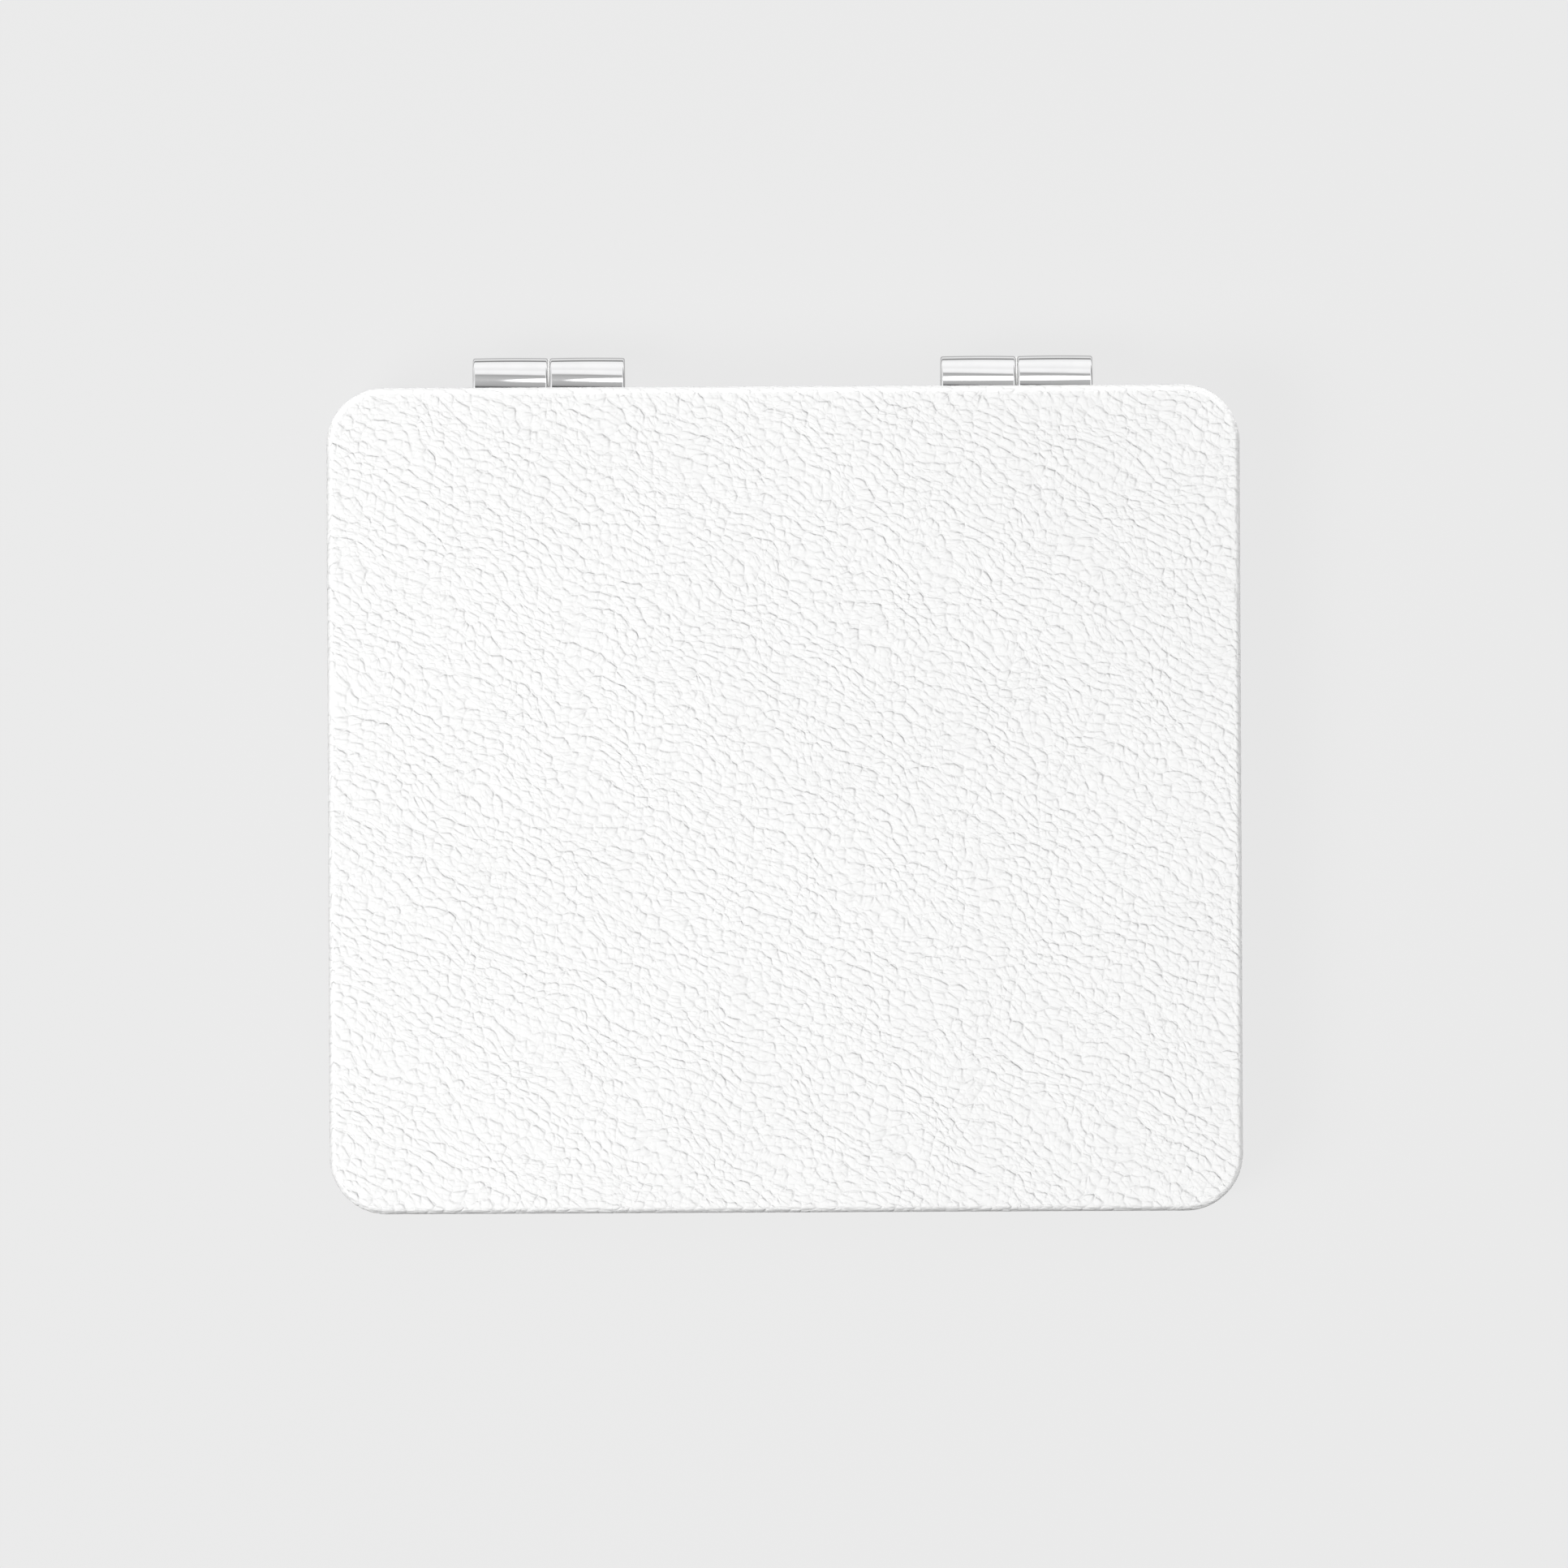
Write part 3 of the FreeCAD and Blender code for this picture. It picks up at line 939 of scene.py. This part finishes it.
    def lay_flat(self, bm: BMesh) -> None:
        """Marks each point with its place on the leather laid flat and with the grain's depth there.

        Args:
            bm: The cover's mesh, in the base half.
        """
        flat = bm.verts.layers.float_vector.new(FLAT_PLACE)
        depth = bm.verts.layers.float.new(GRAIN_DEPTH)
        roll, drop = self.roll_width, self.roll_drop
        wall_end = self.hem_top - self.fold_radius
        for vert in bm.verts:
            inset = self.outline.inset_of(vert.co)
            past, low = max(1.0 - inset / roll, 0.0), max(1.0 - vert.co.z / drop, 0.0)
            turn = math.atan2(past, low) if past else 0.0
            under = (1.0 - math.hypot(past, low)) * roll if past and low else min(inset, vert.co.z)
            along = (roll + drop) / 2.0 * turn - past * roll + max(vert.co.z - drop, 0.0) * math.sin(turn)
            vert[flat] = vert.co.xy.to_3d() + self.outline.outward(vert.co) * along + self.grain_shift
            fade = min(max((wall_end - vert.co.z) / drop, 0.0), 1.0)
            fade *= 1.0 - (1.0 - self.edge_grain) * math.sin(turn)
            vert[depth] = fade if under < self.leather / 4.0 else 0.0

    def emboss(self, cover: Object) -> None:
        """Presses the pebbles into the cover's mesh.

        Args:
            cover: The cover, marked by lay_flat.
        """
        leather = self.finishes.leather
        tree = bpy.data.node_groups.new(self.node("grain_relief"), "GeometryNodeTree")
        for in_out in ("INPUT", "OUTPUT"):
            tree.interface.new_socket("Geometry", in_out=in_out, socket_type="NodeSocketGeometry")
        graph = Graph(tree)
        given = graph.add("NodeGroupInput")
        place = graph.add("GeometryNodeInputNamedAttribute", {"Name": FLAT_PLACE}, data_type="FLOAT_VECTOR")
        depth = graph.add("GeometryNodeInputNamedAttribute", {"Name": GRAIN_DEPTH}, data_type="FLOAT")
        normal = graph.add("GeometryNodeInputNormal").outputs[0]
        domes, _, _ = leather.grain.relief(graph, place.outputs[0])
        sunk = graph.math("SUBTRACT", domes, (leather.grain.pebbles.dome + leather.grain.wrinkles.dome) * MM)
        sunk = graph.math("MULTIPLY", graph.math("MINIMUM", sunk, 0.0), leather.pressed_share)
        inward = graph.vector("SCALE", normal, graph.math("MULTIPLY", sunk, depth.outputs[0]))
        moved = graph.add("GeometryNodeSetPosition", {"Geometry": given.outputs[0], "Offset": inward})
        graph.add("NodeGroupOutput", {0: moved.outputs[0]})
        cover.modifiers.new("grain", "NODES").node_group = tree
        settle(cover)

    def build_cover(self) -> None:
        """Makes the leather cover."""
        cover = new_piece(self.node("leather"), self.cover_skin())
        carve(cover, "DIFFERENCE", self.hinges.scallops(), self.leaf_slots())
        bm = bmesh.new()
        bm.from_mesh(cover.data)
        self.lay_flat(bm)
        reflected(bm, self.half, self.parting)
        bm.to_mesh(cover.data)
        bm.free()
        self.emboss(cover)
        self.finishes.place(cover, self.half, Slot.LEATHER, self.node("leather_cover"), self.cover_sharp)

    def build_pad(self, name: str, node: str, outline: Outline, bowed: bool) -> None:
        """Makes a foam pad with soft edges.

        Args:
            name: The pad's name, without its half.
            node: The name of its node, without its half.
            outline: The outline that it follows.
            bowed: Whether its upper side follows the mirror's bow.
        """
        inset, low, high = self.span(node)
        edge = min(self.pad_rounding, (high - low) / 4.0)
        rings = RingMesh(outline, inset + edge, high, self.pane_cell)
        rings.grow_round(inset + edge, high - edge, edge, 90.0, 0.0, self.pad_steps)
        rings.grow(inset, low + edge)
        rings.grow_round(inset + edge, low + edge, edge, 0.0, -90.0, self.pad_steps)
        rings.close()
        if bowed:
            middle = self.span(self.mirror_node)[1]
            for vert in rings.bm.verts:
                share = (vert.co.z - low) / (high - low)
                vert.co.z = low + (middle + self.dish(vert.co) - low) * share
        reflected(rings.bm, self.half, self.parting)
        pad = new_piece(self.node(name), rings.bm)
        self.finishes.place(pad, self.half, Slot.FOAM, self.node(node), self.pad_sharp)

    def build_bezel(self) -> None:
        """Makes the plated frame: a flange over the hem, a lip over the mirror and a skirt round it."""
        inset, low, high = self.span("bezel")
        edge, chamfer, top = self.flange_edge, self.lip_chamfer, self.hem_top
        inner = self.span(self.mirror_node)[0] - self.pane_gap
        rings = RingMesh(self.outline, inset, top, self.ring_cell)
        rings.open()
        rings.grow(inset, high - edge)
        rings.grow_round(inset + edge, high - edge, edge, 0.0, 90.0, self.flange_steps)
        rings.grow(inset + 2.0 * edge, high)
        rings.grow_across(self.window, self.window_inset - chamfer, high)
        rings.grow(self.window_inset, high - chamfer)
        rings.grow(self.window_inset, top)
        rings.grow(inner, top)
        rings.grow(inner, low)
        rings.grow(inner - self.skirt, low)
        rings.grow(inner - self.skirt, top)
        rings.grow_across(self.outline, inset, top)
        bmesh.ops.remove_doubles(rings.bm, verts=rings.bm.verts, dist=self.weld)
        reflected(rings.bm, self.half, self.parting)
        bezel = new_piece(self.node("bezel_frame"), rings.bm)
        carve(bezel, "DIFFERENCE", self.hinges.scallops())
        self.finishes.place(bezel, self.half, Slot.BEZEL, self.node("bezel"), self.bezel_sharp)

    def build_mirror(self) -> None:
        """Makes the mirror pane, flat or bowed."""
        inset, low, _ = self.span(self.mirror_node)
        pane = RingMesh(self.window, inset, low + self.pane_thickness, self.pane_cell)
        for vert in pane.bm.verts:
            vert.co.z += self.dish(vert.co)
        bmesh.ops.recalc_face_normals(pane.bm, faces=pane.bm.faces)
        bmesh.ops.solidify(pane.bm, geom=pane.bm.faces[:], thickness=self.pane_thickness)
        soften(pane.bm, self.pane_arris, self.arris_steps)
        reflected(pane.bm, self.half, self.parting)
        mirror = new_piece(self.node("mirror_pane"), pane.bm)
        self.finishes.place(mirror, self.half, Slot.MIRROR, self.node(self.mirror_node), self.pane_sharp)

    def build(self) -> None:
        """Makes every piece of this half."""
        self.build_cover()
        self.build_pad("padding", "foam_pad", self.outline, False)
        self.build_bezel()
        self.build_mirror()
        self.build_pad("mirror_cushion", "mirror_pad", self.window, bool(self.bow_radius))


@dataclass
class BarrelHinge:
    """One hinge: two knuckles with their leaves, the pin and the washer."""

    side: Side
    line: HingeLine
    finishes: Finishes
    edge_radius: float = 0.15 * MM
    edge_steps: int = 8
    edge_loop: float = 0.03 * MM
    crown: float = 0.03 * MM
    crown_loops: int = 12
    barrel_sharp: float = 30.0
    leaf_thickness: float = 0.8 * MM
    leaf_edge: float = 0.06 * MM
    leaf_steps: int = 2
    leaf_above: float = 0.6 * MM
    bore_gap: float = 0.035 * MM
    pin_dome: float = 0.2 * MM
    dome_steps: int = 6
    pin_sides: int = 64
    washer_edge: float = 0.02 * MM
    washer_steps: int = 3
    turned_sharp: float = 40.0

    def node(self, name: str) -> str:
        """The name of one of this hinge's nodes."""
        return f"{self.side.value}_hinge_{name}"

    def bored(self, piece: Object) -> None:
        """Bores a piece for the pin, with a tool three times as long as the pin."""
        low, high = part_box(self.node("pin"))
        radius, length = (high.z - low.z) / 2.0 + self.bore_gap, high.x - low.x
        tool = bmesh.new()
        bar(tool, radius, Vector((low.x - length, *self.line.axis.yz)), 3.0 * length, self.pin_sides)
        carve(piece, "DIFFERENCE", tool)

    def crowned(self, bm: BMesh, middle: float, reach: float) -> None:
        """Draws a barrel in a little towards its ends.

        Args:
            bm: The barrel.
            middle: Where its middle is along the hinge line.
            reach: Half its length.
        """
        for vert in bm.verts:
            drawn = 1.0 - self.crown / self.line.barrel_radius * ((vert.co.x - middle) / reach) ** 2
            off = vert.co.yz - self.line.axis.yz
            vert.co.yz = self.line.axis.yz + off * drawn

    def leaf(self, half: Half, low: Vector, high: Vector) -> BMesh:
        """Models a knuckle's flat leaf.

        Args:
            half: The half that it is screwed to.
            low: The knuckle's lowest corner.
            high: Its highest corner.

        Returns:
            The closed leaf, from its end in the case to the barrel's axis.
        """
        bm = bmesh.new()
        upper = self.line.axis.z - self.leaf_above
        first = Vector((low.x + self.line.leaf_margin, low.y, upper - self.leaf_thickness))
        last = Vector((high.x - self.line.leaf_margin, self.line.axis.y, upper))
        block(bm, first, last)
        soften(bm, self.leaf_edge, self.leaf_steps)
        reflected(bm, half, self.line.axis.z)
        return bm

    def build_knuckle(self, half: Half) -> None:
        """Makes a knuckle: a rounded barrel with its leaf.

        Args:
            half: The half that it is screwed to.
        """
        name = self.node(f"{half.value}_knuckle")
        low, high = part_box(name)
        bm = bmesh.new()
        bar(bm, self.line.barrel_radius, Vector((low.x, *self.line.axis.yz)), high.x - low.x)
        soften(bm, self.edge_radius, self.edge_steps)
        first, last = low.x + self.edge_radius + self.edge_loop, high.x - self.edge_radius - self.edge_loop
        for loop in range(self.crown_loops + 1):
            place = Vector((first + (last - first) * loop / self.crown_loops, 0.0, 0.0))
            parts = [*bm.verts, *bm.edges, *bm.faces]
            bmesh.ops.bisect_plane(bm, geom=parts, plane_co=place, plane_no=(1.0, 0.0, 0.0))
        self.crowned(bm, (low.x + high.x) / 2.0, (high.x - low.x) / 2.0)
        knuckle = new_piece(f"{self.side.value}_{half.value}_barrel", bm)
        carve(knuckle, "UNION", self.leaf(half, low, high))
        self.bored(knuckle)
        self.finishes.place(knuckle, half, Slot.HINGE, name, self.barrel_sharp)

    def build_turned(self, name: str, slot: Slot, sides: int, edge: float, steps: int) -> None:
        """Makes the pin or the washer: a round piece on the hinge line with rounded ends.

        Args:
            name: The piece's name, without its hinge.
            slot: Its material; a washer is bored for the pin.
            sides: The number of its sides.
            edge: How far the rounding reaches from the ends' edges.
            steps: The number of faces across the rounding.
        """
        low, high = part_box(self.node(name))
        bm = bmesh.new()
        bar(bm, (high.z - low.z) / 2.0, Vector((low.x, *self.line.axis.yz)), high.x - low.x, sides)
        soften(bm, edge, steps)
        piece = new_piece(f"{self.side.value}_{name}", bm)
        if slot is Slot.WASHER:
            self.bored(piece)
        self.finishes.place(piece, Half.BASE, slot, self.node(name), self.turned_sharp)

    def build(self) -> None:
        """Makes every piece of this hinge."""
        for half in Half:
            self.build_knuckle(half)
        self.build_turned("pin", Slot.STEEL, self.pin_sides, self.pin_dome, self.dome_steps)
        self.build_turned("washer", Slot.WASHER, ROUND_SIDES, self.washer_edge, self.washer_steps)


@dataclass(frozen=True)
class InnerParts:
    """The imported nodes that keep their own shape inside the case, each with its material."""

    finishes: Finishes
    kept: tuple[tuple[str, Slot], ...] = (
        ("shell", Slot.SHELL), ("magnets", Slot.MAGNET), ("hinge_screws", Slot.STEEL),
    )

    def dress(self) -> None:
        """Gives each of these nodes its finish."""
        for half in Half:
            for name, slot in self.kept:
                node = frame["nodes"][f"{half.value}_{name}"]
                self.finishes.dress(node, slot)
                log.info("%s: kept, in %s", node.name, self.finishes.materials[slot].name)


@dataclass(frozen=True)
class SoftLight:
    """A soft light that points at the compact, in degrees, metres and watts.

    It lights the compact and shows in no reflection. A round one only shows in reflections. It may point
    at a place behind the compact, which lights the rear a little more.
    """

    name: str
    azimuth: float
    elevation: float
    distance: float
    width: float
    height: float
    power: float
    round: bool = False
    aim_behind: float = 0.0

    def build(self) -> None:
        """Makes the light."""
        around, up = math.radians(self.azimuth), math.radians(self.elevation)
        away = Vector((math.cos(around) * math.cos(up), math.sin(around) * math.cos(up), math.sin(up)))
        data = bpy.data.lights.new(self.name, "AREA")
        data.shape = "ELLIPSE" if self.round else "RECTANGLE"
        data.size, data.size_y = self.width, self.height
        data.energy = self.power
        light = bpy.data.objects.new(self.name, data)
        light.location = away * self.distance
        light.rotation_mode = "QUATERNION"
        aim = Vector((0.0, self.aim_behind, 0.0))
        light.rotation_quaternion = (light.location - aim).to_track_quat("Z", "Y")
        light.visible_camera = False
        light.visible_glossy, light.visible_diffuse = self.round, not self.round
        bpy.context.scene.collection.objects.link(light)


@dataclass
class Studio:
    """Pale floor, soft light and the camera straight above the closed compact."""

    photo_side: float = 1932.0
    lid_width: float = 1126.5
    lid_middle: tuple[float, float] = (966.75, 985.0)
    roll_deg: float = 0.27
    camera_height: float = 1.2
    sensor: float = 36.0
    backdrop: float = 0.823
    floor_colour: float = 0.08
    floor_reach: float = 4.0
    floor_share: float = 0.6
    fill: float = 1.14
    fill_from: tuple[float, float] = (0.72, 0.9)
    lights: tuple[SoftLight, ...] = (
        SoftLight("key", 205.0, 60.0, 0.85, 0.36, 0.36, 6.55, aim_behind=0.6),
        SoftLight("rear_card", 90.0, 0.3, 1.0, 0.07, 0.008, 8.6),
        SoftLight("right_card", 0.0, 0.3, 1.0, 0.05, 0.008, 4.9),
        SoftLight("left_card", 180.0, 0.3, 1.0, 0.05, 0.008, 2.2),
        SoftLight("hinge_glint", 85.4, 59.3, 0.36, 0.086, 0.112, 0.025, round=True),
    )
    # Painted shadow on the floor as reflections see it: greys by millimetres from the compact's sides.
    painted_floor_shadow_stops: tuple[tuple[float, float], ...] = (
        (0.0, 0.45), (5.2, 0.45), (6.4, 0.8), (8.8, 0.8), (10.2, 0.24), (13.0, 0.24), (15.0, 0.92),
        (40.0, 1.0),
    )
    bands: tuple[tuple[float, float], ...] = (
        (-90.0, 0.8), (-50.0, 0.9), (-34.0, 0.34), (-6.0, 0.09), (-1.5, 0.09), (0.5, 0.2), (3.0, 0.36),
        (8.0, 0.43), (20.0, 0.47), (26.0, 0.54), (36.0, 0.5), (42.6, 0.43), (46.0, 0.36), (49.0, 0.62),
        (52.0, 0.93), (56.0, 0.96), (64.0, 0.99), (71.0, 0.91), (75.0, 0.91), (80.0, 0.95), (84.0, 0.98),
        (90.0, 1.0),
    )
    band_slant: float = 80.0
    sides: tuple[tuple[float, float], ...] = (
        (-1.0, 0.9), (-0.93, 0.6), (-0.75, 0.6), (-0.6, 0.66), (-0.3, 0.8), (-0.1, 1.0), (0.16, 1.0),
        (0.32, 0.8), (0.42, 0.12), (1.0, 0.12),
    )
    sides_from: tuple[float, float] = (0.06, 0.14)
    sides_below: tuple[float, float] = (0.3, 0.95)

    def build_camera(self) -> None:
        """Makes the camera, framed as the photograph is."""
        low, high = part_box("lid_leather_cover")
        pixel = (high.x - low.x) / self.lid_width
        data = bpy.data.cameras.new("camera")
        data.sensor_width = self.sensor
        data.lens = self.sensor * self.camera_height / (pixel * self.photo_side)
        camera = bpy.data.objects.new("camera", data)
        right = (self.photo_side / 2.0 - self.lid_middle[0]) * pixel
        rear = (self.lid_middle[1] - self.photo_side / 2.0) * pixel
        camera.location = (right, rear, high.z + self.camera_height)
        camera.rotation_euler = (0.0, 0.0, -math.radians(self.roll_deg))
        bpy.context.scene.collection.objects.link(camera)
        bpy.context.scene.camera = camera

    def build_floor(self) -> None:
        """Makes the floor, which shows as the plain backdrop with the compact's soft shadow."""
        bm = bmesh.new()
        bmesh.ops.create_grid(bm, x_segments=1, y_segments=1, size=self.floor_reach)
        floor = new_piece("floor", bm)
        material = bpy.data.materials.new("pale_floor")
        material.use_nodes = True
        graph = Graph(material.node_tree)
        matt_grey = (self.floor_colour, self.floor_colour, self.floor_colour, 1.0)
        glow = (self.backdrop - self.floor_share * self.floor_colour) / (1.0 - self.floor_share)
        matt = graph.add("ShaderNodeBsdfDiffuse", {"Color": matt_grey})
        plain = graph.add("ShaderNodeEmission", {"Color": (glow, glow, glow, 1.0)})
        rays = graph.add("ShaderNodeLightPath").outputs
        # Reflections see the floor with painted shadow round the compact, not the lit floor.
        mirrored = graph.add("ShaderNodeEmission", {"Color": self.floor_with_painted_shadow_in_metal(graph)})
        glossy = graph.math("MAXIMUM", rays["Is Glossy Ray"], rays["Is Transmission Ray"])
        seen = graph.math("MULTIPLY", rays["Is Camera Ray"], 1.0 - self.floor_share)
        shown = matt.outputs[0]
        for share, other in ((seen, plain), (glossy, mirrored)):
            shown = graph.add("ShaderNodeMixShader", {0: share, 1: shown, 2: other.outputs[0]}).outputs[0]
        graph.add("ShaderNodeOutputMaterial", {"Surface": shown})
        floor.data.materials.append(material)

    def floor_with_painted_shadow_in_metal(self, graph: Graph) -> NodeSocket:
        """Adds the floor's shade in reflections: pale, with painted shadow of the compact in rings near it.

        Args:
            graph: The tree to add to.

        Returns:
            The shade's colour.
        """
        _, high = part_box("base_leather_cover")
        place = graph.add("ShaderNodeTexCoord").outputs["Object"]
        sides = graph.vector("SUBTRACT", graph.vector("ABSOLUTE", place), high)
        across, along, _ = graph.add("ShaderNodeSeparateXYZ", {0: sides}).outputs
        away = graph.math("MULTIPLY", graph.math("MAXIMUM", across, along), 1.0 / MM)
        return graph.greys(away, self.painted_floor_shadow_stops)

    def build_world(self) -> None:
        """Makes the surroundings: a plain backdrop, a banded studio dome in reflections and a soft fill."""
        world = bpy.data.worlds.new("studio")
        bpy.context.scene.world = world
        world.use_nodes = True
        graph = Graph(world.node_tree)
        direction = graph.add("ShaderNodeTexCoord").outputs["Generated"]
        across, along, up = graph.add("ShaderNodeSeparateXYZ", {0: direction}).outputs
        tipped = graph.math("MULTIPLY", graph.math("ARCTAN2", along, up), 180.0 / math.pi)
        dome = graph.greys(graph.math("MULTIPLY_ADD", across, self.band_slant, tipped), self.bands)
        sideways = graph.ramp(graph.math("ABSOLUTE", across), *self.sides_from)
        beside = graph.math("MAXIMUM", graph.greys(across, self.sides), graph.ramp(up, *self.sides_below))
        shown = graph.blend(sideways, dome, beside)
        rays = graph.add("ShaderNodeLightPath").outputs
        backdrop = (self.backdrop, self.backdrop, self.backdrop)
        lit = graph.ramp(up, *self.fill_from, 0.0, self.fill)
        glossy = graph.math("MAXIMUM", rays["Is Glossy Ray"], rays["Is Transmission Ray"])
        colour = graph.blend(glossy, graph.blend(rays["Is Camera Ray"], lit, backdrop), shown)
        sky = graph.add("ShaderNodeBackground", {"Color": colour, "Strength": 1.0})
        graph.add("ShaderNodeOutputWorld", {"Surface": sky.outputs[0]})

    def build(self) -> None:
        """Makes the camera, the floor, the lights and the surroundings."""
        self.build_camera()
        self.build_floor()
        self.build_world()
        for light in self.lights:
            light.build()
        bpy.context.scene.view_settings.view_transform = "Standard"
        log.info("studio: camera, floor, %d lights and surroundings", len(self.lights))


def main() -> None:
    """Builds the compact and the studio round it."""
    logging.basicConfig(level=logging.INFO, format="%(name)s: %(message)s")
    finishes = Finishes()
    line = HingeLine()
    bowed = {"bow_radius": MAGNIFIER_BOW, "grain_shift": BASE_GRAIN_SHIFT}
    CaseHalf(Half.BASE, line, finishes, "magnifying_mirror", **bowed).build()
    CaseHalf(Half.LID, line, finishes, "mirror").build()
    for side in Side:
        BarrelHinge(side, line, finishes).build()
    InnerParts(finishes).dress()
    Studio().build()


if __name__ == "__main__":
    main()
